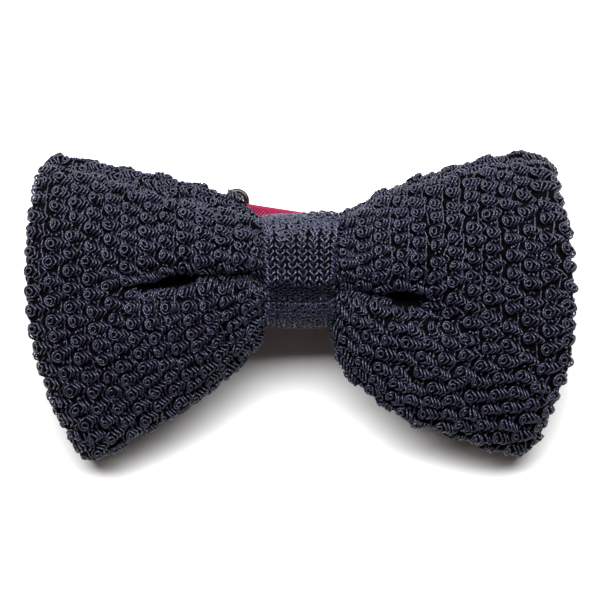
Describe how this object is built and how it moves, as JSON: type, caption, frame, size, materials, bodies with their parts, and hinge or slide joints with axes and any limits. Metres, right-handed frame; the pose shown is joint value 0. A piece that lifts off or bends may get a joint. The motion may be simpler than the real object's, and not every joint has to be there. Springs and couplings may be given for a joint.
{
  "type": "knitted bow tie",
  "caption": "Ready-tied knitted bow tie on a folded, adjustable woven neck strap with slider, eye ring and hook.",
  "frame": {"origin": "centre of the bounding box in X and Y, on the surface the tie lies on", "axes": "+Z out of the bow's front, +Y towards its top edge, +X along the bow's length, to the right as seen from the front"},
  "size_m": [0.1197, 0.0687, 0.0239],
  "materials": {
    "knit_navy": "textured knit",
    "strap_crimson": "woven satin twill",
    "thread_navy": "twisted thread",
    "thread_crimson": "twisted thread",
    "hardware_black": "gloss black lacquer"
  },
  "bodies": {
    "bow": {"left_wing_loop": "knit_navy", "right_wing_loop": "knit_navy", "knot_band": "knit_navy", "gather_binding": "thread_navy", "knot_seam_stitches": "thread_navy", "neck_strap_root": "strap_crimson", "strap_anchor_tacks": "thread_crimson", "hook": "hardware_black", "hook_tack": "thread_crimson"},
    "strap_2": {"strap_fold_1": "strap_crimson", "strap_pass_2": "strap_crimson"},
    "strap_3": {"strap_fold_2": "strap_crimson", "strap_pass_3": "strap_crimson"},
    "strap_4": {"strap_fold_3": "strap_crimson", "strap_pass_4": "strap_crimson"},
    "strap_5": {"strap_fold_4": "strap_crimson", "strap_pass_5": "strap_crimson", "strap_return": "strap_crimson"},
    "ring": {"eye_ring": "hardware_black"},
    "slider": {"slide_adjuster": "hardware_black", "strap_end_loop": "strap_crimson", "strap_end_tack": "thread_crimson"}
  },
  "joints": [
    {"name": "strap_fold_1_opens", "type": "hinge", "parent": "bow", "child": "strap_2", "pos_m": [-0.0465, 0.0066, 0.00785], "axis": [0, 1, 0], "range_deg": [0, 179], "deforming": ["strap_fold_1"]},
    {"name": "strap_fold_2_opens", "type": "hinge", "parent": "strap_2", "child": "strap_3", "pos_m": [0.046, 0.0066, 0.00595], "axis": [0, -1, 0], "range_deg": [0, 179], "deforming": ["strap_fold_2"]},
    {"name": "strap_fold_3_opens", "type": "hinge", "parent": "strap_3", "child": "strap_4", "pos_m": [-0.0455, 0.0066, 0.00505], "axis": [0, 1, 0], "range_deg": [0, 179], "deforming": ["strap_fold_3"]},
    {"name": "strap_fold_4_opens", "type": "hinge", "parent": "strap_4", "child": "strap_5", "pos_m": [0.0447, 0.0066, 0.00365], "axis": [-0.0758, -0.9971, 0], "range_deg": [0, 179], "deforming": ["strap_fold_4"]},
    {"name": "eye_ring_swings", "type": "hinge", "parent": "strap_5", "child": "ring", "pos_m": [-0.01298, 0.01543, 0.00153], "axis": [-0.1513, -0.9885, 0], "range_deg": [-20, 110]},
    {"name": "slider_slides", "type": "slide", "parent": "strap_5", "child": "slider", "axis": [0.9885, -0.1513, 0], "range_m": [-0.022, 0.014], "deforming": ["strap_return"]}
  ]
}
